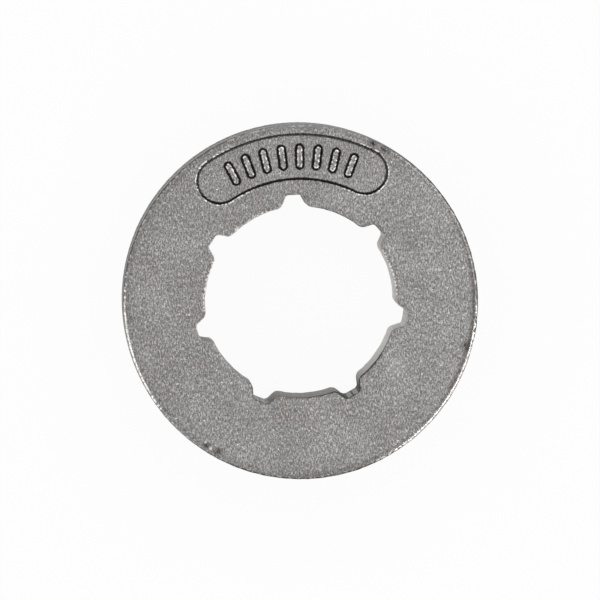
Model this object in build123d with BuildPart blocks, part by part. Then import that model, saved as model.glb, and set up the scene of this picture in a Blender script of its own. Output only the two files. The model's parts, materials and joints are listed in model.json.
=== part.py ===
from build123d import *
import os
from math import radians, tan

# Chainsaw rim sprocket: one steel casting that slides on the splined hub of a clutch drum.
# The chain's side links ride on its two flanges, and the teeth between them push the drive links.
# Millimetres and degrees. The marked face is up, and the origin is the centre of the lower face.

# Flanges, and the slot between them
outer_diameter = 35.6
flange_thickness = 5.0
slot_width = 2.5
outer_edge_radius = 0.7
slot_edge_chamfer = 0.25

# Splined bore
bore_diameter = 19.0
spline_count = 7
groove_depth = 1.15
groove_root_width = 1.5
groove_flank_angle = 24.0
groove_root_radius = 0.4
groove_mouth_radius = 0.75
bore_edge_chamfer = 0.15

# Teeth, with pockets between them for the drive links
tooth_count = 8
tooth_tip_drop = 0.6
tooth_tip_width = 4.2
tooth_flank_angle = 7.5
tooth_tip_radius = 0.6
pocket_wall = 1.95
pocket_corner_radius = 1.2

# Marking panel: a shallow curved recess in the upper face
panel_bore_margin = 1.6
panel_rim_margin = 1.0
panel_span = 60.0
panel_depth = 0.25
panel_edge_chamfer = 0.12

# Places worked out from the sizes above
thickness = 2 * flange_thickness + slot_width
outer_radius = outer_diameter / 2
bore_radius = bore_diameter / 2
groove_root = bore_radius + groove_depth
pocket_floor = groove_root + pocket_wall
tooth_tip = outer_radius - tooth_tip_drop
panel_inner = groove_root + panel_bore_margin
panel_outer = outer_radius - panel_rim_margin
panel_middle = (panel_inner + panel_outer) / 2

# A groove, a tooth and the panel are all centred on +Y
marked_side = 90.0


def tapered_outline(width, width_at, flank_angle, start, end):
    """Corners of a straight-sided shape along local X that narrows outwards by flank_angle a side."""
    narrowing = tan(radians(flank_angle))
    start_half = width / 2 + (width_at - start) * narrowing
    end_half = width / 2 + (width_at - end) * narrowing
    return [(start, -start_half), (end, -end_half), (end, end_half), (start, start_half)]


with BuildPart() as rim_sprocket:
    # Lower flange
    with BuildSketch():
        Circle(outer_radius)
    extrude(amount=flange_thickness)

    # Tooth ring, a little smaller than the flanges so that the chain's side links clear the tips
    with BuildSketch(Plane.XY.offset(flange_thickness)) as tooth_ring:
        Circle(pocket_floor)
        tooth = tapered_outline(tooth_tip_width, tooth_tip, tooth_flank_angle, groove_root, outer_radius)
        with PolarLocations(0, tooth_count, start_angle=marked_side):
            Polygon(*tooth)
        Circle(tooth_tip, mode=Mode.INTERSECT)
        tooth_flanks = tooth_ring.edges().filter_by(GeomType.LINE)
        fillet(tooth_flanks.vertices().group_by(SortBy.DISTANCE)[-1], tooth_tip_radius)
        tooth_flanks = tooth_ring.edges().filter_by(GeomType.LINE)
        fillet(tooth_flanks.vertices().group_by(SortBy.DISTANCE)[0], pocket_corner_radius)
    extrude(amount=slot_width)

    # Upper flange
    with BuildSketch(Plane.XY.offset(flange_thickness + slot_width)):
        Circle(outer_radius)
    extrude(amount=flange_thickness)

    # Flange edges: the two beside the slot are bevelled, and the two outer ones rounded
    rims = rim_sprocket.edges().filter_by(GeomType.CIRCLE).group_by(SortBy.RADIUS)[-1].sort_by(Axis.Z)
    chamfer(rims[1:3], slot_edge_chamfer)
    rims = rim_sprocket.edges().filter_by(GeomType.CIRCLE).group_by(SortBy.RADIUS)[-1].sort_by(Axis.Z)
    fillet([rims[0], rims[-1]], outer_edge_radius)

    # Splined bore
    with BuildSketch() as splined_hole:
        Circle(bore_radius)
        inside = bore_radius - groove_depth
        groove = tapered_outline(groove_root_width, groove_root, groove_flank_angle, inside, groove_root)
        with PolarLocations(0, spline_count, start_angle=marked_side):
            Polygon(*groove)
        groove_flanks = splined_hole.edges().filter_by(GeomType.LINE)
        fillet(groove_flanks.vertices().group_by(SortBy.DISTANCE)[-1], groove_root_radius)
        groove_flanks = splined_hole.edges().filter_by(GeomType.LINE)
        fillet(groove_flanks.vertices().group_by(SortBy.DISTANCE)[0], groove_mouth_radius)
    extrude(amount=thickness, mode=Mode.SUBTRACT)
    end_faces = rim_sprocket.faces().sort_by(Axis.Z)
    chamfer(end_faces[0].inner_wires().edges() + end_faces[-1].inner_wires().edges(), bore_edge_chamfer)

    # Marking panel
    with BuildSketch(Plane.XY.offset(thickness)):
        panel_start = marked_side - panel_span / 2
        middle_line = CenterArc((0, 0), panel_middle, panel_start, panel_span, mode=Mode.PRIVATE)
        SlotArc(middle_line, panel_outer - panel_inner)
    extrude(amount=-panel_depth, mode=Mode.SUBTRACT)
    chamfer(rim_sprocket.edges(Select.LAST).group_by(Axis.Z)[-1], panel_edge_chamfer)

rim_sprocket.part.label = "rim_sprocket"

os.makedirs("parts", exist_ok=True)
export_step(rim_sprocket.part, "parts/rim_sprocket.step")
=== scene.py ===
"""Chainsaw rim sprocket: a shot-blasted steel casting with a splined bore, laid out as a Blender add-on."""

import json
import math

import bmesh
import bpy
from bpy.props import FloatProperty, FloatVectorProperty, IntProperty, PointerProperty
from mathutils import Matrix, Vector


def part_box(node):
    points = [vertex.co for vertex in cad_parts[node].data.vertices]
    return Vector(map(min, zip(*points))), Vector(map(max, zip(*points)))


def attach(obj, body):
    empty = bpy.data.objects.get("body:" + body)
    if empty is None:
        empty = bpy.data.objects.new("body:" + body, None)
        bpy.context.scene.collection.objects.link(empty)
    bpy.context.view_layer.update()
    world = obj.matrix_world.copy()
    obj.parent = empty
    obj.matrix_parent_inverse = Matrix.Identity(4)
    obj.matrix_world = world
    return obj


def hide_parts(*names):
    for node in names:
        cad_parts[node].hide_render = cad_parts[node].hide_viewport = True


bl_info = {
    "name": "Rim Sprocket",
    "version": (1, 0, 0),
    "blender": (4, 5, 0),
    "location": "View3D > Sidebar > Rim Sprocket",
    "description": "Models a chainsaw rim sprocket, its cast steel finish and its studio",
    "category": "Object",
}

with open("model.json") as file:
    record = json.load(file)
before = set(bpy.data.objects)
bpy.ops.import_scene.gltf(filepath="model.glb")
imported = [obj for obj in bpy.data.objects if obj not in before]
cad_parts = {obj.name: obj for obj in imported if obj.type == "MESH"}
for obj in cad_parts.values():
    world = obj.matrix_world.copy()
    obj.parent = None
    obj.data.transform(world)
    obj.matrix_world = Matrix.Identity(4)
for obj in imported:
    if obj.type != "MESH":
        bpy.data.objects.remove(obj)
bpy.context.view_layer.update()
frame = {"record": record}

NODE = "rim_sprocket"
CASTING = "rim_casting"
WORN_EDGES = "worn_edges"
LOW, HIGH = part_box(NODE)
MOUNTS = {mount["name"]: mount for mount in frame["record"]["mounts"]}
HUB_BORE = MOUNTS["hub_bore"]["dims"]
CHAIN_POCKETS = MOUNTS["chain_pockets"]["dims"]

MM = 0.001
UP = Vector((0, 0, 1))
FULL_TURN = 2 * math.pi
# The marking panel, one groove and one tooth are all centred on +Y.
MARKED_SIDE = math.radians(90)
# Points closer than this are the same place.
NEAR = 0.001 * MM
# Dark smudges and bright flecks near the outer edge, and a pale rub near the bore: across, up and radius in
# millimetres.
SMUDGES = ((-10.3, -13.7, 0.45), (-9.25, -14.4, 0.6), (8.3, 15.35, 0.8), (9.4, 14.75, 0.8), (16.2, -5.5, 0.7))
FLECKS = ((-10.4, -13.35, 0.15), (-9.95, -14.0, 0.22))
RUBS = ((9.1, -7.1, 1.4),)
# Sectors, each a middle and a half span in degrees from +X towards +Y, and a strength. On the outer edge
# there are a brown band that is painted shade on the right and a stain at the bottom, a dark band of painted
# shade where the edge turns upright, and bright lines of painted highlight. Painted glints stand along the
# panel's lip and the bore's edge, the bore's edge has painted shade, and the bore's wall has a painted
# highlight and painted shade, also deep in one groove. The last sector is the room's curtain.
SHADE_AND_STAIN_BAND = ((-14, 36, 0.4), (-82, 20, 0.2))
EDGE_SHADE = ((15, 50, 0.75), (140, 45, 0.7), (-94, 38, 1.0))
EDGE_HIGHLIGHTS = ((-36, 34, 1.0), (192, 26, 1.0))
PANEL_GLINTS = ((124, 16, 1.0), (57, 12, 1.0))
BORE_GLINTS = ((150, 80, 1.0), (0, 38, 1.0))
BORE_SHADE = ((-45, 60, 0.75),)
WALL_HIGHLIGHT = ((0, 60, 0.9),)
WALL_SHADE = ((-90, 40, 0.25),)
GROOVE_SHADE = ((-62, 12, 0.6),)
CURTAINS = ((-14, 35, 1.0),)
# Area lights: a name, a place and a size in metres, and a power in watts.
SOFTBOXES = (
    ("overhead", (0.12, 0.03, 0.5), (0.3, 0.3), 0.22),
    ("right_edge", (0.5, -0.35, 0.03), (0.5, 0.06), 1.0),
    ("upper_right_edge", (0.57, 0.2, 0.03), (0.9, 0.06), 0.8),
    ("left_edge", (-0.57, -0.19, 0.03), (0.3, 0.06), 0.35),
)
FLOOR_HALF_WIDTH = 4.0
PICTURE_PIXELS = 600
# Of the camera, in millimetres
SENSOR_WIDTH = 36.0


def linear(hex_colour):
    """An sRGB hex colour as the linear red, green and blue that Blender's sockets take."""
    shares = [int(hex_colour[i : i + 2], 16) / 255 for i in (0, 2, 4)]
    return [s / 12.92 if s <= 0.04045 else ((s + 0.055) / 1.055) ** 2.4 for s in shares]


def length_of(name, description, default):
    """A size in metres that a user can change."""
    return FloatProperty(name=name, description=description, default=default, unit="LENGTH", precision=5)


def angle_of(name, description, degrees):
    """An angle that a user can change, shown in degrees."""
    return FloatProperty(name=name, description=description, default=math.radians(degrees), unit="ROTATION")


def number_of(name, description, default):
    """A plain number that a user can change."""
    return FloatProperty(name=name, description=description, default=default)


def colour_of(name, description, hex_colour):
    """A colour that a user can change."""
    return FloatVectorProperty(
        name=name, description=description, default=linear(hex_colour), subtype="COLOR", min=0, max=1
    )


class CastingSizes(bpy.types.PropertyGroup):
    """Sizes of the casting: flanges, splined bore and tooth ring"""

    outer_diameter: length_of("Outer diameter", "Across the flanges", HIGH.x - LOW.x)
    thickness: length_of("Thickness", "From face to face", HIGH.z - LOW.z)
    slot_width: length_of("Slot width", "Gap between the flanges", 2.5 * MM)
    bore_diameter: length_of("Bore diameter", "Across the lands", 2 * HUB_BORE["r_mm"] * MM)
    groove_count: IntProperty(name="Grooves", description="Spline grooves in the bore", default=7)
    groove_depth: length_of("Groove depth", "From the lands to the root", 1.15 * MM)
    groove_root_width: length_of("Groove root", "Width at the root, between the flanks", 1.5 * MM)
    groove_flank: angle_of("Groove flank", "Slope of a groove's side", 24)
    groove_root_radius: length_of("Root rounding", "Rounding at the root", 0.4 * MM)
    groove_mouth_radius: length_of("Mouth rounding", "Rounding where a groove meets a land", 0.75 * MM)
    tooth_count: IntProperty(name="Teeth", description="Teeth in the slot", default=CHAIN_POCKETS["count"])
    tooth_tip_drop: length_of("Tip drop", "How far the tips stay below the flanges", 0.6 * MM)
    tooth_tip_width: length_of("Tip width", "Width of a tooth at its tip", 4.2 * MM)
    tooth_flank: angle_of("Tooth flank", "Slope of a tooth's side", 7.5)
    tooth_tip_radius: length_of("Tip rounding", "Rounding at a tooth's tip", 0.6 * MM)
    pocket_wall: length_of("Pocket wall", "Between a pocket's floor and the groove roots", 1.95 * MM)
    pocket_radius: length_of("Pocket rounding", "Rounding at a pocket's floor", 1.2 * MM)
    outer_edge: length_of("Outer edge", "Rounding of the outer edges", 0.7 * MM)
    slot_edge: length_of("Slot edge", "Rounding of the edges beside the slot", 0.25 * MM)
    bore_edge: length_of("Bore edge", "Rounding of the bore's two ends", 0.15 * MM)
    tooth_root: length_of("Tooth root", "Cast rounding where teeth meet the flanges", 0.12 * MM)
    cell: length_of("Mesh cell", "Spacing of the mesh on flat faces and walls", 0.42 * MM)


class MarkingSizes(bpy.types.PropertyGroup):
    """Sizes of the marking panel and its tally bars"""

    bore_margin: length_of("Bore margin", "From the groove roots to the panel", 1.6 * MM)
    rim_margin: length_of("Rim margin", "From the panel to the outer diameter", 1.0 * MM)
    span: angle_of("Span", "Turn between the centres of the round ends", 60)
    depth: length_of("Depth", "Depth of the panel", 0.25 * MM)
    lip: length_of("Lip", "Rounding along the panel's upper edge", 0.1 * MM)
    corner: length_of("Corner", "Rounding along the panel's floor", 0.08 * MM)
    bar_length: length_of("Bar length", "Length of one tally bar", 2.3 * MM)
    bar_width: length_of("Bar width", "Width of one tally bar", 0.62 * MM)
    bar_height: length_of("Bar height", "Above the panel's floor", 0.22 * MM)
    bar_pitch: length_of("Bar pitch", "From bar to bar along the panel's middle", 1.75 * MM)
    bar_edge: length_of("Bar edge", "Rounding at a bar's top", 0.1 * MM)


class SteelFinish(bpy.types.PropertyGroup):
    """Colours and grain of the cast steel, and the unevenness of its skin"""

    dark_grain: colour_of("Dark grain", "Pits of the blasted skin", "706F6E")
    light_grain: colour_of("Light grain", "Tops of the blasted skin", "D0CECD")
    warm_patch: colour_of("Warm patch", "Tint of the darker patches", "EAE8E6")
    cool_patch: colour_of("Cool patch", "Tint of the paler patches", "FDFDFD")
    # Painted shade: this dark colour also darkens the edges, the bore and the lines round the marking; on the
    # smudges it is dirt.
    oxide_and_shade: colour_of("Oxide", "Dark oxide left in corners and smudges", "232120")
    worn_steel: colour_of("Worn steel", "Smooth steel of the rubbed edges", "8E8B89")
    # Painted highlight: this bright colour also paints the glints, specks and bright lines on the edges and
    # the bore.
    bright_steel_and_glints: colour_of("Bright steel", "Freshly rubbed steel of specks and burrs", "EEECEA")
    # Painted shade and stain: the brown band inside the outer edge is painted shade on the right and a stain
    # at the bottom.
    stain_and_shade: colour_of("Stain", "Brown stain along the outer edge", "5E5651")
    bore_steel: colour_of("Bore steel", "Broached steel of the bore", "C0BEBC")
    grain: length_of("Grain", "Size of one grain of the blasted skin", 0.12 * MM)
    grain_depth: length_of("Grain depth", "Height of the grain", 0.03 * MM)
    speck: length_of("Speck", "Size of the field in which there may be one bright speck", 0.4 * MM)
    mottle: length_of("Mottle", "Size of the pale and dark patches", 4.0 * MM)
    roughness: number_of("Roughness", "Roughness of the blasted skin", 0.4)
    worn_roughness: number_of("Worn roughness", "Roughness of the rubbed edges", 0.2)
    bore_roughness: number_of("Bore roughness", "Roughness of the broached bore", 0.6)
    broach_line: length_of("Broach line", "Width of one line left by the broach", 0.2 * MM)
    wave: length_of("Wave", "Size of one wave of the casting's uneven skin", 1.6 * MM)
    wave_depth: length_of("Wave depth", "Depth of the waves", 0.02 * MM)
    nick: length_of("Nick", "Size of one nick along the edges", 0.5 * MM)
    nick_depth: length_of("Nick depth", "Depth of the nicks", 0.08 * MM)
    # Painted highlight: the bright beads are painted glints.
    glint_bead: length_of("Burr", "Size of one bright bead along the bore's edge", 0.3 * MM)
    # The line is painted shade at the foot of the walls round the panel and the bars.
    line_width: length_of("Line width", "Width of the oxide line round the panel and the bars", 0.26 * MM)


class StageSettings(bpy.types.PropertyGroup):
    """Camera and studio light"""

    distance: length_of("Camera distance", "From the lens to the marked face", 1.3)
    view_width: length_of("View width", "Width of the picture at the marked face", 59.93 * MM)
    face_pixel: FloatVectorProperty(
        name="Face centre",
        description="The marked face's centre in the picture, in pixels",
        size=2,
        default=(300.7, 302.0),
    )
    lean_left: angle_of("Lean left", "How far the camera leans to the left", 1.38)
    lean_up: angle_of("Lean up", "How far the camera leans to the top", 1.79)
    roll: angle_of("Roll", "Turn of the part in the picture", 3.85)
    paper: colour_of("Paper", "White paper floor", "F4F4F4")
    room: number_of("Room", "Strength of the pale room", 0.85)
    curtain: number_of("Curtain", "How much darker the room is at its curtain", 0.45)


def around(radius, angle, height=0.0):
    """The place at a radius and an angle round the axis."""
    return Vector((radius * math.cos(angle), radius * math.sin(angle), height))


def swing(mesh, vert, angle, steps, centre=(0, 0, 0)):
    """Draws an arc from a vertex about an upright axis, and returns its last vertex."""
    drawn = bmesh.ops.spin(mesh, geom=[vert], cent=centre, axis=UP, angle=angle, steps=steps)
    return next(item for item in drawn["geom_last"] if isinstance(item, bmesh.types.BMVert))


def draw_to(mesh, vert, place):
    """Draws a straight line from a vertex to a place, and returns the new vertex."""
    drawn = bmesh.ops.extrude_vert_indiv(mesh, verts=[vert])["verts"][0]
    drawn.co = place
    return drawn


def round_corner(mesh, corner, radius, segments):
    """Rounds a corner between two lines."""
    first, second = [edge.other_vert(corner).co - corner.co for edge in corner.link_edges]
    bmesh.ops.bevel(
        mesh,
        geom=[corner],
        offset=radius / math.tan(first.angle(second) / 2),
        offset_type="OFFSET",
        segments=segments,
        profile=0.5,
        affect="VERTICES",
        clamp_overlap=False,
        material=-1,
    )


def round_edges(mesh, edges, radius, segments):
    """Rounds edges between faces, and returns the new vertices."""
    rounded = bmesh.ops.bevel(
        mesh,
        geom=edges,
        offset=radius,
        offset_type="OFFSET",
        segments=segments,
        profile=0.5,
        affect="EDGES",
        clamp_overlap=False,
        material=-1,
    )
    return rounded["verts"]


def divide(mesh, edges, parts):
    """Divides each edge into equal parts, and the faces between them into rows."""
    bmesh.ops.subdivide_edges(mesh, edges=edges, cuts=parts - 1, use_grid_fill=True)


def flank_meets(radius, half_width, width_at, slope):
    """The angle at which a straight flank, half_width from the middle at width_at, meets a circle."""
    lean = math.tan(slope)
    reach = half_width + width_at * lean
    # The flank is y = reach - lean x, and the circle is x x + y y = radius radius.
    a = 1 + lean * lean
    b = reach * lean
    c = reach * reach - radius * radius
    x = (b + math.sqrt(b * b - a * c)) / a
    return math.atan2(reach - lean * x, x)


def longest_edges(mesh, count):
    """The longest edges, the longest first."""
    return sorted(mesh.edges, key=lambda edge: edge.calc_length(), reverse=True)[:count]


def spline_half_pitch(mesh, sizes):
    """Half a pitch of the bore's outline, from a land's middle to a groove's: 40 edges."""
    bore = sizes.bore_diameter / 2
    root = bore + sizes.groove_depth
    root_half = sizes.groove_root_width / 2
    half_pitch = math.pi / sizes.groove_count
    mouth = flank_meets(bore, root_half, root, sizes.groove_flank)
    # The land's arc ends before the mouth, so that the corner's rounding starts on a straight line.
    lead = 0.65 * MM / bore
    vert = mesh.verts.new(around(bore, -half_pitch))
    vert = swing(mesh, vert, half_pitch - mouth - lead, steps=13)
    mouth_corner = draw_to(mesh, vert, around(bore, -mouth))
    root_corner = draw_to(mesh, mouth_corner, Vector((root, -root_half, 0)))
    draw_to(mesh, root_corner, Vector((root, 0, 0)))
    round_corner(mesh, root_corner, sizes.groove_root_radius, segments=6)
    round_corner(mesh, mouth_corner, sizes.groove_mouth_radius, segments=9)
    flank, flat = longest_edges(mesh, 2)
    divide(mesh, [flank], parts=6)
    divide(mesh, [flat], parts=5)


def tooth_half_pitch(mesh, sizes):
    """Half a pitch of the tooth ring's outline, from a pocket's middle to a tooth's: 35 edges."""
    tip = sizes.outer_diameter / 2 - sizes.tooth_tip_drop
    floor = sizes.bore_diameter / 2 + sizes.groove_depth + sizes.pocket_wall
    tip_half = sizes.tooth_tip_width / 2
    half_pitch = math.pi / sizes.tooth_count
    floor_end = flank_meets(floor, tip_half, tip, sizes.tooth_flank)
    tip_end = flank_meets(tip, tip_half, tip, sizes.tooth_flank)
    # Here too the arcs end before the corners.
    floor_lead = 0.9 * MM / floor
    tip_lead = 0.65 * MM / tip
    vert = mesh.verts.new(around(floor, -half_pitch))
    vert = swing(mesh, vert, half_pitch - floor_end - floor_lead, steps=6)
    floor_corner = draw_to(mesh, vert, around(floor, -floor_end))
    tip_corner = draw_to(mesh, floor_corner, around(tip, -tip_end))
    vert = draw_to(mesh, tip_corner, around(tip, tip_lead - tip_end))
    swing(mesh, vert, tip_end - tip_lead, steps=5)
    round_corner(mesh, floor_corner, sizes.pocket_radius, segments=8)
    round_corner(mesh, tip_corner, sizes.tooth_tip_radius, segments=6)
    divide(mesh, longest_edges(mesh, 1), parts=8)


def closed_outline(draw_half_pitch, sizes, pitches):
    """A closed outline about the axis, as a mesh of edges: half a pitch, mirrored and repeated."""
    mesh = bmesh.new()
    draw_half_pitch(mesh, sizes)
    bmesh.ops.mirror(mesh, geom=mesh.verts[:] + mesh.edges[:], axis="Y", merge_dist=NEAR)
    bmesh.ops.spin(
        mesh,
        geom=mesh.verts[:] + mesh.edges[:],
        axis=UP,
        angle=FULL_TURN * (pitches - 1) / pitches,
        steps=pitches - 1,
        use_duplicate=True,
    )
    bmesh.ops.remove_doubles(mesh, verts=mesh.verts, dist=NEAR)
    bmesh.ops.rotate(mesh, verts=mesh.verts, matrix=Matrix.Rotation(MARKED_SIDE, 3, UP))
    outline = bpy.data.meshes.new("outline")
    mesh.to_mesh(outline)
    mesh.free()
    return outline


def edges_since(mesh, before):
    """The edges that weren't there before."""
    return [edge for edge in mesh.edges if edge not in before]


def add_outline(mesh, outline, height):
    """Adds an outline at a height, and returns its edges."""
    before = set(mesh.edges)
    mesh.from_mesh(outline)
    edges = edges_since(mesh, before)
    bmesh.ops.translate(mesh, verts=list({vert for edge in edges for vert in edge.verts}), vec=UP * height)
    return edges


def add_circle(mesh, radius, segments, height):
    """Adds a circle at a height, and returns its edges."""
    before = set(mesh.edges)
    bmesh.ops.create_circle(mesh, segments=segments, radius=radius, matrix=Matrix.Translation(UP * height))
    return edges_since(mesh, before)


def raise_wall(mesh, edges, height):
    """Raises a wall from a closed outline, and returns the wall's upper edges."""
    raised = bmesh.ops.extrude_edge_only(mesh, edges=edges)["geom"]
    verts = {item for item in raised if isinstance(item, bmesh.types.BMVert)}
    bmesh.ops.translate(mesh, verts=list(verts), vec=UP * height)
    return [item for item in raised if isinstance(item, bmesh.types.BMEdge) and set(item.verts) <= verts]


def edge_ring(start):
    """The rungs of the ladder of four-sided faces that an edge belongs to, all the way round."""
    rungs = [start]
    loop = start.link_loops[0]
    while True:
        loop = loop.link_loop_next.link_loop_next
        if loop.edge == start:
            return rungs
        rungs.append(loop.edge)
        loop = loop.link_loop_radial_next


def divide_ladders(mesh, cell):
    """Divides every face and wall into rows of about one cell, from the edges that lie on the +Y side."""
    seam = [edge for edge in mesh.edges if all(abs(v.co.x) < NEAR and v.co.y > 0 for v in edge.verts)]
    for edge in seam:
        rungs = edge_ring(edge)
        parts = round(max(rung.calc_length() for rung in rungs) / cell)
        if parts > 1:
            divide(mesh, rungs, parts)


def add_piece(name, mesh):
    """Makes an object of a bmesh, at the origin, with smooth shading."""
    data = bpy.data.meshes.new(name)
    mesh.to_mesh(data)
    mesh.free()
    data.shade_smooth()
    piece = bpy.data.objects.new(name, data)
    bpy.context.scene.collection.objects.link(piece)
    return piece


def model_casting(sizes):
    """The casting's mesh, built from its lower face up."""
    outer = sizes.outer_diameter / 2
    flange = (sizes.thickness - sizes.slot_width) / 2
    bore = closed_outline(spline_half_pitch, sizes, sizes.groove_count)
    teeth = closed_outline(tooth_half_pitch, sizes, sizes.tooth_count)
    segments = len(bore.edges)
    if len(teeth.edges) != segments:
        raise RuntimeError("the bore's and the teeth's outlines have different numbers of edges")

    mesh = bmesh.new()
    # The nicks take the wear from a vertex group, and the steel takes it from an attribute.
    group = mesh.verts.layers.deform.verify()
    attribute = mesh.verts.layers.float.new(WORN_EDGES)
    # The upright walls come first, and flat faces then join them.
    lower_rim = add_circle(mesh, outer, segments, 0)
    lower_lip = raise_wall(mesh, lower_rim, flange)
    lower_roots = add_outline(mesh, teeth, flange)
    upper_roots = raise_wall(mesh, lower_roots, sizes.slot_width)
    upper_lip = add_circle(mesh, outer, segments, flange + sizes.slot_width)
    upper_rim = raise_wall(mesh, upper_lip, flange)
    lower_bore = add_outline(mesh, bore, 0)
    upper_bore = raise_wall(mesh, lower_bore, sizes.thickness)
    # The bore's wall faces the axis, and the others face away from it.
    bmesh.ops.recalc_face_normals(mesh, faces=mesh.faces)
    bmesh.ops.reverse_faces(mesh, faces=[edge.link_faces[0] for edge in lower_bore])
    bmesh.ops.bridge_loops(mesh, edges=lower_rim + lower_bore)
    bmesh.ops.bridge_loops(mesh, edges=lower_lip + lower_roots)
    bmesh.ops.bridge_loops(mesh, edges=upper_lip + upper_roots)
    bmesh.ops.bridge_loops(mesh, edges=upper_rim + upper_bore)

    round_edges(mesh, lower_roots + upper_roots, sizes.tooth_root, segments=2)
    round_edges(mesh, lower_lip + upper_lip, sizes.slot_edge, segments=3)
    rubs_and_highlights = round_edges(mesh, lower_rim + upper_rim, sizes.outer_edge, segments=8)
    rubs_and_highlights += round_edges(mesh, lower_bore + upper_bore, sizes.bore_edge, segments=3)
    mesh.normal_update()
    for vert in rubs_and_highlights:
        slope = vert.normal.xy.length
        vert[group][0] = slope
        vert[attribute] = slope
    divide_ladders(mesh, sizes.cell)
    return mesh


def slot_outline(mesh, middle, half_width, span, height):
    """Draws a curved slot's outline at a height, and returns its edges."""
    before = set(mesh.edges)
    start = MARKED_SIDE - span / 2
    end = MARKED_SIDE + span / 2
    side_steps = 48
    end_steps = 24
    first = mesh.verts.new(around(middle - half_width, start, height))
    last = swing(mesh, first, span, side_steps)
    last = swing(mesh, last, -math.pi, end_steps, around(middle, end))
    last = swing(mesh, last, -span, side_steps)
    last = swing(mesh, last, -math.pi, end_steps, around(middle, start))
    bmesh.ops.weld_verts(mesh, targetmap={last: first})
    return edges_since(mesh, before)


def panel_middle(sizes, marking):
    """The panel's middle radius and half its width."""
    inner = sizes.bore_diameter / 2 + sizes.groove_depth + marking.bore_margin
    outer = sizes.outer_diameter / 2 - marking.rim_margin
    return (inner + outer) / 2, (outer - inner) / 2


def model_panel_cutter(sizes, marking):
    """What is cut away for the panel: a lip that narrows to a wall, a rounded corner and a flat floor."""
    middle, half_width = panel_middle(sizes, marking)
    top = sizes.thickness
    floor = top - marking.depth
    flat = half_width - marking.corner
    # Half widths and heights from the top down. The first is above the face, so that the cut is a clean one.
    profile = [(half_width + 1.5 * marking.lip, top + 0.2 * marking.lip)]
    for turn in (75, 50, 25, 0):
        spread = 1 - math.cos(math.radians(turn))
        drop = 1 - math.sin(math.radians(turn))
        profile.append((half_width + marking.lip * spread, top - marking.lip * drop))
    for turn in (90, 60, 30, 0):
        reach = math.sin(math.radians(turn))
        rise = 1 - math.cos(math.radians(turn))
        profile.append((flat + marking.corner * reach, floor + marking.corner * rise))
    rows = 7
    profile += [(flat * (rows - row) / rows + NEAR, floor) for row in range(1, rows + 1)]

    mesh = bmesh.new()
    outline = slot_outline(mesh, middle, profile[0][0], marking.span, profile[0][1])
    face = bmesh.ops.contextual_create(mesh, geom=outline)["faces"][0]
    face.normal_update()
    if face.normal.z < 0:
        face.normal_flip()
    for (reach, height), (next_reach, next_height) in zip(profile, profile[1:]):
        bmesh.ops.inset_region(
            mesh,
            faces=[face],
            thickness=reach - next_reach,
            depth=next_height - height,
            use_boundary=True,
            use_even_offset=True,
        )
    # The floor's two sides now meet along the panel's middle line.
    bmesh.ops.remove_doubles(mesh, verts=face.verts, dist=10 * NEAR)
    bmesh.ops.holes_fill(mesh, edges=mesh.edges, sides=0)
    bmesh.ops.recalc_face_normals(mesh, faces=mesh.faces)
    return mesh


def model_tally_bars(sizes, marking):
    """Raised bars along the panel, one for each tooth."""
    middle, _ = panel_middle(sizes, marking)
    floor = sizes.thickness - marking.depth
    half_width = marking.bar_width / 2
    straight = marking.bar_length - marking.bar_width
    turn = marking.bar_pitch / middle
    end_steps = 12
    mesh = bmesh.new()
    # One bar lies along the first bar's radius, on +X, and starts below the floor.
    first = mesh.verts.new((middle - straight / 2, half_width, floor - marking.depth))
    last = swing(mesh, first, math.pi, end_steps, (middle - straight / 2, 0, 0))
    last = draw_to(mesh, last, last.co + Vector((straight, 0, 0)))
    last = swing(mesh, last, math.pi, end_steps, (middle + straight / 2, 0, 0))
    mesh.edges.new((last, first))
    bmesh.ops.contextual_create(mesh, geom=mesh.edges[:])
    top = raise_wall(mesh, mesh.edges[:], marking.depth + marking.bar_height)
    bmesh.ops.contextual_create(mesh, geom=top)
    bmesh.ops.recalc_face_normals(mesh, faces=mesh.faces)
    round_edges(mesh, top, marking.bar_edge, segments=3)
    steps = sizes.tooth_count - 1
    bmesh.ops.spin(mesh, geom=mesh.faces[:], axis=UP, angle=turn * steps, steps=steps, use_duplicate=True)
    centred = Matrix.Rotation(MARKED_SIDE - turn * steps / 2, 3, UP)
    bmesh.ops.rotate(mesh, verts=mesh.verts, matrix=centred)
    return mesh


def combine(piece, tool, operation):
    """Cuts a tool out of a piece, or joins it on, and removes the tool."""
    modifier = piece.modifiers.new("combine", "BOOLEAN")
    modifier.object = tool
    modifier.operation = operation
    modifier.solver = "MANIFOLD"
    graph = bpy.context.evaluated_depsgraph_get()
    combined = bpy.data.meshes.new_from_object(piece.evaluated_get(graph))
    piece.modifiers.remove(modifier)
    before = piece.data
    piece.data = combined
    bpy.data.meshes.remove(before)
    combined.name = piece.name
    bpy.data.meshes.remove(tool.data)


def add_node(tree, kind, sockets=None, **settings):
    """Adds a shader node, with its settings and a value or a link for each socket that is given, and returns
    the first of its outputs that is in use."""
    node = tree.nodes.new("ShaderNode" + kind)
    for name, value in settings.items():
        setattr(node, name, value)
    for socket, value in (sockets or {}).items():
        if isinstance(value, bpy.types.NodeSocket):
            tree.links.new(value, node.inputs[socket])
        else:
            node.inputs[socket].default_value = value
    return next((output for output in node.outputs if output.enabled), None)


def new_material(name):
    """An empty material, with its node tree."""
    material = bpy.data.materials.new(name)
    material.use_nodes = True
    material.node_tree.nodes.clear()
    return material, material.node_tree


def opaque(colour):
    """A colour with full alpha, for a colour socket."""
    return (*colour, 1.0)


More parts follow.
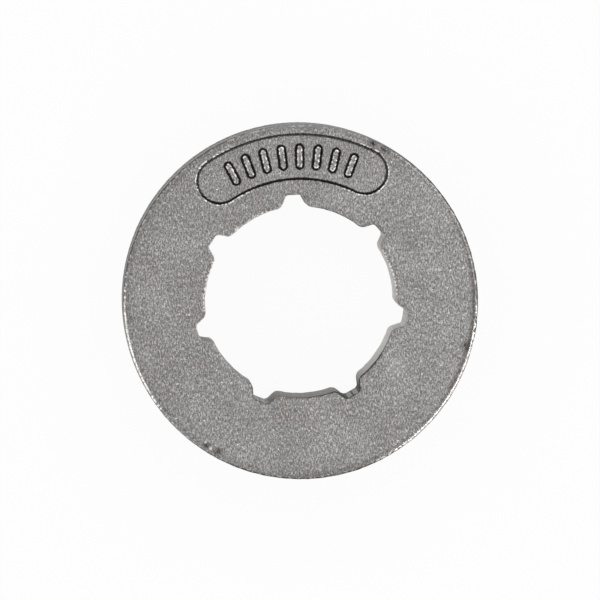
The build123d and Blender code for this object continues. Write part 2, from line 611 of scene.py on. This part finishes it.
class Surface:
    """A material's node tree, with the places on the part from which its patterns are drawn."""

    def __init__(self, tree):
        self.tree = tree
        self.places = add_node(tree, "TexCoord").node.outputs["Object"]
        self.axes = add_node(tree, "SeparateXYZ", {"Vector": self.places}).node.outputs
        self.flat = add_node(tree, "VectorMath", {0: self.places, 1: (1, 1, 0)}, operation="MULTIPLY")
        self.radius = add_node(tree, "VectorMath", {0: self.flat}, operation="LENGTH")


def joined(tree, operation, *masks):
    """Several masks as one: MULTIPLY keeps what all cover, MAXIMUM what any covers, and ADD sums them."""
    whole = masks[0]
    for mask in masks[1:]:
        whole = add_node(tree, "Math", {0: whole, 1: mask}, operation=operation)
    return whole


def painted(tree, colour, coats):
    """A colour with coats laid over it in turn, each a mask and a colour."""
    for mask, coat in coats:
        colour = add_node(tree, "Mix", {0: mask, 6: colour, 7: opaque(coat)}, data_type="RGBA")
    return colour


def band(tree, place, middle, core, fade):
    """A mask that is 1 within core of a middle, and falls to 0 at fade from it."""
    gap = add_node(tree, "Math", {0: place, 1: middle}, operation="SUBTRACT")
    gap = add_node(tree, "Math", {0: gap}, operation="ABSOLUTE")
    return add_node(
        tree,
        "MapRange",
        {"Value": gap, "From Min": core, "From Max": fade, "To Min": 1.0, "To Max": 0.0},
        interpolation_type="SMOOTHSTEP",
    )


def spots(tree, flat, marks):
    """A mask of round spots, each soft from its middle to its radius."""
    found = []
    for x, y, radius in marks:
        middle = (x * MM, y * MM, 0)
        away = add_node(tree, "VectorMath", {0: flat, 1: middle}, operation="DISTANCE")
        spot = add_node(
            tree, "MapRange", {"Value": away, "From Max": radius * MM, "To Min": 1.0, "To Max": 0.0}
        )
        found.append(spot)
    return joined(tree, "MAXIMUM", *found)


def sectors(tree, flat, marks):
    """A mask of sectors round the origin, each soft from half its half span outwards."""
    way = add_node(tree, "VectorMath", {0: flat}, operation="NORMALIZE")
    found = []
    for middle, half_span, strength in marks:
        toward = around(1, math.radians(middle))
        facing = add_node(tree, "VectorMath", {0: way, 1: toward}, operation="DOT_PRODUCT")
        edge = math.cos(math.radians(half_span))
        core = math.cos(math.radians(half_span / 2))
        sector = add_node(
            tree, "MapRange", {"Value": facing, "From Min": edge, "From Max": core, "To Max": strength}
        )
        found.append(sector)
    return joined(tree, "MAXIMUM", *found)


def outline_reach(surface, angle, nearest, farthest, half_width):
    """How far a place lies outside an outline, which is drawn at half_width round a line: the line is at an
    angle from +Y, between a nearest and a farthest radius."""
    tree, flat = surface.tree, surface.flat
    across = add_node(tree, "Math", {0: angle}, operation="SINE")
    along = add_node(tree, "Math", {0: angle}, operation="COSINE")
    way = add_node(tree, "CombineXYZ", {"X": across, "Y": along})
    reach = add_node(tree, "VectorMath", {0: flat, 1: way}, operation="DOT_PRODUCT")
    reach = add_node(tree, "Clamp", {"Value": reach, "Min": nearest, "Max": farthest})
    point = add_node(tree, "VectorMath", {0: way, "Scale": reach}, operation="SCALE")
    away = add_node(tree, "VectorMath", {0: flat, 1: point}, operation="DISTANCE")
    return add_node(tree, "Math", {0: away, 1: half_width}, operation="SUBTRACT")


def marking_lines(surface, sizes, marking, finish):
    """Two masks along the panel and its bars: painted shade at the foot of the walls, and painted glints on
    the lip above it.
    """
    tree, axes = surface.tree, surface.axes
    middle, half_width = panel_middle(sizes, marking)
    angle = add_node(tree, "Math", {0: axes["X"], 1: axes["Y"]}, operation="ARCTAN2")
    half_span = marking.span / 2
    held = add_node(tree, "Clamp", {"Value": angle, "Min": -half_span, "Max": half_span})
    panel_rise = outline_reach(surface, held, middle, middle, half_width)

    # The two bars nearest +Y stand half a pitch to each side of it, and the others a pitch apart.
    turn = marking.bar_pitch / middle
    last = turn * (sizes.tooth_count - 1) / 2
    bar = add_node(tree, "Math", {0: angle, 1: turn}, operation="SNAP")
    bar = add_node(tree, "Math", {0: bar, 1: turn / 2}, operation="ADD")
    bar = add_node(tree, "Clamp", {"Value": bar, "Min": -last, "Max": last})
    straight = (marking.bar_length - marking.bar_width) / 2
    bar_reach = outline_reach(surface, bar, middle - straight, middle + straight, marking.bar_width / 2)
    bar_rise = add_node(tree, "Math", {0: bar_reach, 1: -1.0}, operation="MULTIPLY")

    # The blast leaves the line ragged.
    width = finish.line_width
    rag = add_node(tree, "TexNoise", {"Vector": surface.flat, "Scale": 1 / finish.glint_bead, "Detail": 2.0})
    rag = add_node(tree, "MapRange", {"Value": rag, "To Min": -0.4 * width, "To Max": 0.4 * width})
    shaded_feet = []
    lip_glints = []
    for rise in (panel_rise, bar_rise):
        ragged = add_node(tree, "Math", {0: rise, 1: rag}, operation="ADD")
        shaded_feet.append(band(tree, ragged, -0.25 * width, 0.3 * width, 0.7 * width))
        lip_glints.append(band(tree, ragged, 0.45 * width, 0.15 * width, 0.5 * width))

    # The panel's painted shade is palest along its outer side, and its painted glints stand at its ends.
    outer_share = 0.85
    inner = add_node(tree, "Math", {0: surface.radius, 1: middle}, operation="LESS_THAN")
    strength = add_node(
        tree, "Math", {0: inner, 1: 1 - outer_share, 2: outer_share}, operation="MULTIPLY_ADD"
    )
    shaded_feet[0] = joined(tree, "MULTIPLY", shaded_feet[0], strength)
    lip_glints[0] = joined(tree, "MULTIPLY", lip_glints[0], sectors(tree, surface.flat, PANEL_GLINTS))
    upper = add_node(
        tree, "Math", {0: axes["Z"], 1: sizes.thickness - 2 * marking.depth}, operation="GREATER_THAN"
    )
    return [joined(tree, "MULTIPLY", joined(tree, "MAXIMUM", *masks), upper) for masks in (shaded_feet, lip_glints)]


def blasted_grain(surface, finish):
    """The height of the blasted skin, from 0 in its pits to 1 on its tops."""
    tree, places = surface.tree, surface.places
    # The grains are drawn about a pixel wide, because finer ones wouldn't show. The blast has laid them along
    # Y, so they are longer than wide, and pits lie between them.
    stretch = 2.6
    pit_share = 0.25
    laid = add_node(tree, "Mapping", {"Vector": places, "Scale": (1, 1 / stretch, 1)})
    grains = add_node(
        tree, "TexNoise", {"Vector": laid, "Scale": 1 / finish.grain, "Detail": 2.0, "Distortion": 0.5}
    )
    pits = add_node(tree, "TexVoronoi", {"Vector": places, "Scale": 0.8 / finish.grain})
    mixed = add_node(tree, "Mix", {0: pit_share, 2: grains, 3: pits}, data_type="FLOAT")
    return add_node(tree, "MapRange", {"Value": mixed, "From Min": 0.3, "From Max": 0.7})


def grain_colour(surface, grain, sizes, finish):
    """Dark pits and pale tops, in patches, with painted light that makes them paler to the right."""
    tree = surface.tree
    # The power makes the dark pits wider than the pale tops.
    share = add_node(tree, "Math", {0: grain, 1: 1.8}, operation="POWER")
    colour = painted(tree, opaque(finish.dark_grain), [(share, finish.light_grain)])
    patches = add_node(
        tree, "TexNoise", {"Vector": surface.places, "Scale": 1 / finish.mottle, "Detail": 2.0}
    )
    # Painted light: the patches turn paler towards +X, as if more light fell on that side.
    gain = 0.12
    light_slant = gain / sizes.outer_diameter
    patches = add_node(tree, "Math", {0: surface.axes["X"], 1: light_slant, 2: patches}, operation="MULTIPLY_ADD")
    cool = add_node(tree, "MapRange", {"Value": patches, "From Min": 0.3, "From Max": 0.7})
    tint = painted(tree, opaque(finish.warm_patch), [(cool, finish.cool_patch)])
    return add_node(tree, "Mix", {0: 1.0, 6: colour, 7: tint}, data_type="RGBA", blend_type="MULTIPLY")


def painted_glints(surface, finish):
    """A mask of painted glints: small bright specks, far apart, where facets would catch the light."""
    tree = surface.tree
    cells = add_node(tree, "TexVoronoi", {"Vector": surface.places, "Scale": 1 / finish.speck}).node.outputs
    # A speck's radius in sizes of its field, and the share of the fields that have none.
    reach = 0.17
    bare = 0.96
    near = add_node(tree, "Math", {0: cells["Distance"], 1: reach}, operation="LESS_THAN")
    chance = add_node(tree, "SeparateColor", {0: cells["Color"]})
    few = add_node(tree, "Math", {0: chance, 1: bare}, operation="GREATER_THAN")
    return joined(tree, "MULTIPLY", near, few)


def outer_edge_coats(surface, worn, glint_beads, at_top, sizes, finish):
    """Coats round the outer edge: a brown band inside it, painted shade on the right and stained at the
    bottom, and on it worn steel, a dark band of painted shade and bright lines of painted highlight.
    """
    tree, flat, radius = surface.tree, surface.flat, surface.radius
    outer = sizes.outer_diameter / 2
    inside = band(tree, radius, outer - 0.5 * MM, 0.05 * MM, 0.4 * MM)
    # A brown band just inside the outer edge: painted shade on the right and a stain at the bottom.
    shaded_and_stained = joined(tree, "MULTIPLY", sectors(tree, flat, SHADE_AND_STAIN_BAND), inside)
    upright = add_node(
        tree, "MapRange", {"Value": radius, "From Min": outer - 0.3 * MM, "From Max": outer - 0.1 * MM}
    )
    top = sizes.thickness
    upper = add_node(
        tree, "MapRange", {"Value": surface.axes["Z"], "From Min": top - 2.0 * MM, "From Max": top - 0.8 * MM}
    )
    # Painted shade: the upright end of the outer rounding is darkened in three sectors.
    shaded_rim = joined(tree, "MULTIPLY", sectors(tree, flat, EDGE_SHADE), upright, upper)
    # Painted highlight: a bright beaded line along the top of the outer rounding.
    line = band(tree, radius, outer - 0.18 * MM, 0.06 * MM, 0.15 * MM)
    highlight_sectors = joined(tree, "ADD", sectors(tree, flat, EDGE_HIGHLIGHTS), glint_beads)
    highlight_sectors = add_node(tree, "MapRange", {"Value": highlight_sectors, "From Min": 0.7, "From Max": 1.5})
    rubs_and_highlights = joined(tree, "MULTIPLY", highlight_sectors, line, at_top)
    return [
        (shaded_and_stained, finish.stain_and_shade),
        (worn, finish.worn_steel),
        (shaded_rim, finish.oxide_and_shade),
        (rubs_and_highlights, finish.bright_steel_and_glints),
    ]


def bore_edge_coats(surface, slope, beads, glint_beads, sizes, marking, finish):
    """Coats along the bore's edge: a dark band of painted shade, with beads of painted highlight to the left
    and right.
    """
    tree, flat, radius = surface.tree, surface.flat, surface.radius
    middle, half_width = panel_middle(sizes, marking)
    inside = add_node(tree, "Math", {0: radius, 1: middle - half_width}, operation="LESS_THAN")
    rounded = add_node(tree, "MapRange", {"Value": slope, "From Min": 0.15, "From Max": 0.4})
    rounded = joined(tree, "MULTIPLY", rounded, inside)
    ragged = add_node(tree, "Math", {0: beads, 1: -0.3 * MM, 2: radius}, operation="MULTIPLY_ADD")
    land = sizes.bore_diameter / 2
    narrow = band(tree, ragged, land - 0.1 * MM, 0.05 * MM, 0.15 * MM)
    wide = band(tree, ragged, land - 0.08 * MM, 0.08 * MM, 0.2 * MM)
    # Painted shade along the bore's edge, and painted highlight on its rounding and in beads.
    least_shade = 0.25
    bevel_highlight = 0.6
    strength = joined(tree, "MAXIMUM", sectors(tree, flat, BORE_SHADE), least_shade)
    dark = joined(tree, "MULTIPLY", joined(tree, "MAXIMUM", rounded, narrow), strength)
    rubs_and_highlights = joined(tree, "MULTIPLY", rounded, bevel_highlight)
    beaded = joined(tree, "MULTIPLY", wide, glint_beads)
    bright = joined(tree, "MAXIMUM", rubs_and_highlights, beaded)
    bright = joined(tree, "MULTIPLY", bright, sectors(tree, flat, BORE_GLINTS))
    return [(dark, finish.oxide_and_shade), (bright, finish.bright_steel_and_glints)]


def end_as_metal(tree, colour, roughness, edge_shine, bump):
    """Ends a material as bare metal, with the share of its shine that it keeps at a grazing angle."""
    shader = add_node(
        tree,
        "BsdfPrincipled",
        {
            "Base Color": colour,
            "Metallic": 1.0,
            "Roughness": roughness,
            "Specular Tint": opaque([edge_shine] * 3),
            "Normal": bump,
        },
    )
    add_node(tree, "OutputMaterial", {"Surface": shader})


def shot_blasted_steel(sizes, marking, finish):
    """Cast steel, blasted with shot: an even grey made of fine pale and dark grains, with no mirror in it.
    Painted shade darkens the marking's lines and parts of the edges, painted highlights and glints brighten
    them in places, the rounded edges are worn, and there are dark smudges near the outer edge."""
    material, tree = new_material("shot_blasted_cast_steel")
    surface = Surface(tree)
    flat = surface.flat
    top = sizes.thickness
    at_top = add_node(
        tree,
        "MapRange",
        {"Value": surface.axes["Z"], "From Min": top - 0.5 * MM, "From Max": top - 0.35 * MM},
    )
    # Beads for the painted highlights and glints along the edges; they also make the smudges uneven.
    beads = add_node(tree, "TexNoise", {"Vector": flat, "Scale": 1 / finish.glint_bead, "Detail": 1.0})
    glint_beads = add_node(tree, "MapRange", {"Value": beads, "From Min": 0.48, "From Max": 0.58})
    slope = add_node(tree, "Attribute", attribute_name=WORN_EDGES).node.outputs["Fac"]
    worn = add_node(tree, "MapRange", {"Value": slope, "From Min": 0.5, "From Max": 0.75, "To Max": 0.75})

    # Painted shade at the foot of the marking's walls, and painted glints on the panel's lip.
    shaded_foot, lip = marking_lines(surface, sizes, marking, finish)
    lip = joined(tree, "MULTIPLY", lip, glint_beads)
    uneven = add_node(tree, "MapRange", {"Value": glint_beads, "To Min": 0.5, "To Max": 1.0})
    smudged = joined(tree, "MULTIPLY", spots(tree, flat, SMUDGES), uneven, at_top)
    faint = 0.12
    coats = [
        (joined(tree, "MULTIPLY", spots(tree, flat, RUBS), faint), finish.bright_steel_and_glints),
        (painted_glints(surface, finish), finish.bright_steel_and_glints),
        *outer_edge_coats(surface, worn, glint_beads, at_top, sizes, finish),
        (lip, finish.bright_steel_and_glints),
        *bore_edge_coats(surface, slope, beads, glint_beads, sizes, marking, finish),
        (shaded_foot, finish.oxide_and_shade),
        (smudged, finish.oxide_and_shade),
        (joined(tree, "MULTIPLY", spots(tree, flat, FLECKS), at_top), finish.bright_steel_and_glints),
    ]
    grain = blasted_grain(surface, finish)
    colour = painted(tree, grain_colour(surface, grain, sizes, finish), coats)

    # The worn edges and the lip's painted glints are smoother.
    rubs_and_highlights = joined(tree, "MAXIMUM", worn, lip)
    roughness = add_node(
        tree, "MapRange", {"Value": rubs_and_highlights, "To Min": finish.roughness, "To Max": finish.worn_roughness}
    )
    bump = add_node(tree, "Bump", {"Height": grain, "Distance": 0.5 * finish.grain_depth})
    end_as_metal(tree, colour, roughness, edge_shine=0.5, bump=bump)
    return material


def broached_steel(sizes, finish):
    """Steel cut by a broach: smoother than the blasted skin, with fine lines along the bore."""
    material, tree = new_material("broached_steel")
    surface = Surface(tree)
    # A broach's real lines are too fine to show, so they are drawn coarser. They are far longer than wide.
    stretch = 40
    drawn = add_node(tree, "Mapping", {"Vector": surface.places, "Scale": (1, 1, 1 / stretch)})
    lines = add_node(tree, "TexNoise", {"Vector": drawn, "Scale": 1 / finish.broach_line, "Detail": 2.0})
    tone = add_node(tree, "MapRange", {"Value": lines, "To Min": 0.8, "To Max": 1.2})
    steel = add_node(tree, "VectorMath", {0: finish.bore_steel, "Scale": tone}, operation="SCALE")
    flat = surface.flat
    land = sizes.bore_diameter / 2
    deep = add_node(
        tree, "MapRange", {"Value": surface.radius, "From Min": land + 0.3 * MM, "From Max": land + 0.9 * MM}
    )
    top = sizes.thickness
    mouth = add_node(
        tree, "MapRange", {"Value": surface.axes["Z"], "From Min": top - 1.5 * MM, "From Max": top - 0.5 * MM}
    )
    # Painted highlight on the wall's right side, and painted shade on its lower side, near its upper mouth
    # and deep in one groove.
    coats = [
        (sectors(tree, flat, WALL_HIGHLIGHT), finish.bright_steel_and_glints),
        (sectors(tree, flat, WALL_SHADE), finish.oxide_and_shade),
        (joined(tree, "MULTIPLY", sectors(tree, flat, BORE_SHADE), mouth), finish.oxide_and_shade),
        (joined(tree, "MULTIPLY", sectors(tree, flat, GROOVE_SHADE), deep), finish.oxide_and_shade),
    ]
    colour = painted(tree, steel, coats)
    bump = add_node(tree, "Bump", {"Height": lines, "Distance": 0.2 * finish.grain_depth})
    end_as_metal(tree, colour, finish.bore_roughness, edge_shine=0.4, bump=bump)
    return material


def finish_bore(mesh, sizes):
    """Gives the bore's walls the second finish, up to the roundings at its ends."""
    most_lean = 0.4
    root = sizes.bore_diameter / 2 + sizes.groove_depth
    for face in mesh.polygons:
        in_bore = face.center.xy.length < root + NEAR
        face.material_index = int(in_bore and abs(face.normal.z) < most_lean)


def add_unevenness(piece, name, size, depth, group=""):
    """Sinks the skin unevenly, by up to depth and never outwards, in lumps of one size."""
    lumps = bpy.data.textures.new(name, "CLOUDS")
    lumps.noise_scale = size
    lumps.noise_depth = 1
    modifier = piece.modifiers.new(name, "DISPLACE")
    modifier.texture = lumps
    modifier.texture_coords = "LOCAL"
    modifier.strength = depth
    modifier.mid_level = 1.0
    modifier.vertex_group = group


def seen_rays(tree):
    """1 for the rays that show the background: from the camera, a reflection or through glass."""
    rays = add_node(tree, "LightPath").node.outputs
    return joined(tree, "MAXIMUM", rays["Is Camera Ray"], rays["Is Glossy Ray"], rays["Is Transmission Ray"])


def white_paper(settings):
    """Coated white paper: no gloss, white to the camera, with a faint shadow where the part stands."""
    material, tree = new_material("white_paper")
    matt = add_node(tree, "BsdfDiffuse", {"Color": opaque(settings.paper)})
    white = add_node(tree, "Emission", {"Strength": 1.0})
    white_share = 0.94
    share = joined(tree, "MULTIPLY", seen_rays(tree), white_share)
    mixed = add_node(tree, "MixShader", {0: share, 1: matt, 2: white})
    add_node(tree, "OutputMaterial", {"Surface": mixed})
    return material


def add_floor(settings):
    """A wide sheet of white paper under the part."""
    mesh = bmesh.new()
    bmesh.ops.create_grid(mesh, x_segments=4, y_segments=4, size=FLOOR_HALF_WIDTH)
    floor = add_piece("floor", mesh)
    floor.data.materials.append(white_paper(settings))


def add_room(settings):
    """A pale room all round, with a dark curtain on one side."""
    world = bpy.data.worlds.new("pale_room")
    world.use_nodes = True
    tree = world.node_tree
    tree.nodes.clear()
    way = add_node(tree, "TexCoord").node.outputs["Generated"]
    flat = add_node(tree, "VectorMath", {0: way, 1: (1, 1, 0)}, operation="MULTIPLY")
    # The curtain fades out from about 57 to 75 degrees up.
    lean = add_node(tree, "VectorMath", {0: flat}, operation="LENGTH")
    below = add_node(tree, "MapRange", {"Value": lean, "From Min": 0.25, "From Max": 0.55})
    curtain = joined(tree, "MULTIPLY", sectors(tree, flat, CURTAINS), below)
    dimmest = settings.room - settings.curtain
    light = add_node(tree, "MapRange", {"Value": curtain, "To Min": settings.room, "To Max": dimmest})
    room = add_node(tree, "Background", {"Color": (1, 1, 1, 1), "Strength": light})
    add_node(tree, "OutputWorld", {"Surface": room})
    bpy.context.scene.world = world


def add_softbox(name, place, size, power):
    """An oblong area light that faces the part."""
    lamp = bpy.data.lights.new(name, "AREA")
    lamp.shape = "RECTANGLE"
    lamp.size, lamp.size_y = size
    lamp.energy = power
    softbox = bpy.data.objects.new(name, lamp)
    softbox.location = place
    softbox.rotation_euler = Vector(place).to_track_quat("Z", "Y").to_euler()
    bpy.context.scene.collection.objects.link(softbox)


def add_camera(settings, thickness):
    """The camera, above the marked face, with the part turned and placed as in the picture."""
    right = around(1, -settings.roll)
    up = around(1, MARKED_SIDE - settings.roll)
    back = UP + up * math.tan(settings.lean_up) - right * math.tan(settings.lean_left)
    back.normalize()
    side = (right - back * right.dot(back)).normalized()
    pixel = settings.view_width / PICTURE_PIXELS
    across, down = settings.face_pixel
    half = PICTURE_PIXELS / 2
    aim = UP * thickness + (right * (half - across) + up * (down - half)) * pixel

    lens = bpy.data.cameras.new("camera")
    lens.sensor_width = SENSOR_WIDTH
    lens.lens = SENSOR_WIDTH * settings.distance / settings.view_width
    camera = bpy.data.objects.new("camera", lens)
    turned = Matrix((side, back.cross(side), back)).transposed().to_4x4()
    camera.matrix_world = Matrix.Translation(aim + back * settings.distance) @ turned
    bpy.context.scene.collection.objects.link(camera)
    bpy.context.scene.camera = camera


class SPROCKET_OT_casting(bpy.types.Operator):
    """Model the casting: two flanges, the teeth between them and the splined bore"""

    bl_idname = "sprocket.casting"
    bl_label = "Casting"

    def execute(self, context):
        casting = add_piece(CASTING, model_casting(context.scene.casting_sizes))
        casting.vertex_groups.new(name=WORN_EDGES)
        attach(casting, "root")
        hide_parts(NODE)
        return {"FINISHED"}


class SPROCKET_OT_marking(bpy.types.Operator):
    """Cut the marking panel into the casting and raise its tally bars"""

    bl_idname = "sprocket.marking"
    bl_label = "Marking"

    def execute(self, context):
        sizes = context.scene.casting_sizes
        marking = context.scene.marking_sizes
        casting = bpy.data.objects[CASTING]
        combine(casting, add_piece("panel_cutter", model_panel_cutter(sizes, marking)), "DIFFERENCE")
        combine(casting, add_piece("tally_bars", model_tally_bars(sizes, marking)), "UNION")
        return {"FINISHED"}


class SPROCKET_OT_steel(bpy.types.Operator):
    """Give the casting its uneven skin and its two finishes"""

    bl_idname = "sprocket.steel"
    bl_label = "Steel"

    def execute(self, context):
        scene = context.scene
        finish = scene.steel_finish
        casting = bpy.data.objects[CASTING]
        materials = casting.data.materials
        materials.clear()
        materials.append(shot_blasted_steel(scene.casting_sizes, scene.marking_sizes, finish))
        materials.append(broached_steel(scene.casting_sizes, finish))
        finish_bore(casting.data, scene.casting_sizes)
        add_unevenness(casting, "cast_waves", finish.wave, finish.wave_depth)
        add_unevenness(casting, "edge_nicks", finish.nick, finish.nick_depth, WORN_EDGES)
        casting.modifiers.new("flat_faces", "WEIGHTED_NORMAL")
        return {"FINISHED"}


class SPROCKET_OT_stage(bpy.types.Operator):
    """Set up the paper floor, the soft light and the camera"""

    bl_idname = "sprocket.stage"
    bl_label = "Stage"

    def execute(self, context):
        scene = context.scene
        settings = scene.stage_settings
        add_floor(settings)
        add_room(settings)
        for softbox in SOFTBOXES:
            add_softbox(*softbox)
        add_camera(settings, scene.casting_sizes.thickness)
        scene.view_settings.view_transform = "Standard"
        return {"FINISHED"}


class SPROCKET_PT_sidebar(bpy.types.Panel):
    """Sizes, finishes and steps of the rim sprocket"""

    bl_idname = "SPROCKET_PT_sidebar"
    bl_label = "Rim Sprocket"
    bl_space_type = "VIEW_3D"
    bl_region_type = "UI"
    bl_category = "Rim Sprocket"

    def draw(self, context):
        for name, _, operator in STEPS:
            box = self.layout.box()
            settings = getattr(context.scene, name)
            for field in settings.__annotations__:
                box.prop(settings, field)
            box.operator(operator.bl_idname)


# The steps in the order in which they run: their settings' name on the scene and class, and their operator.
STEPS = (
    ("casting_sizes", CastingSizes, SPROCKET_OT_casting),
    ("marking_sizes", MarkingSizes, SPROCKET_OT_marking),
    ("steel_finish", SteelFinish, SPROCKET_OT_steel),
    ("stage_settings", StageSettings, SPROCKET_OT_stage),
)
CLASSES = [item for step in STEPS for item in step[1:]] + [SPROCKET_PT_sidebar]


def register():
    """Registers the classes, and puts the settings on the scene."""
    for item in CLASSES:
        bpy.utils.register_class(item)
    for name, group, _ in STEPS:
        setattr(bpy.types.Scene, name, PointerProperty(type=group))


def unregister():
    """Takes the settings off the scene, and the classes out of Blender."""
    for name, _, _ in STEPS:
        delattr(bpy.types.Scene, name)
    for item in reversed(CLASSES):
        bpy.utils.unregister_class(item)


def main():
    """Builds the part and its stage."""
    register()
    bpy.ops.sprocket.casting()
    bpy.ops.sprocket.marking()
    bpy.ops.sprocket.steel()
    bpy.ops.sprocket.stage()


if __name__ == "__main__":
    main()
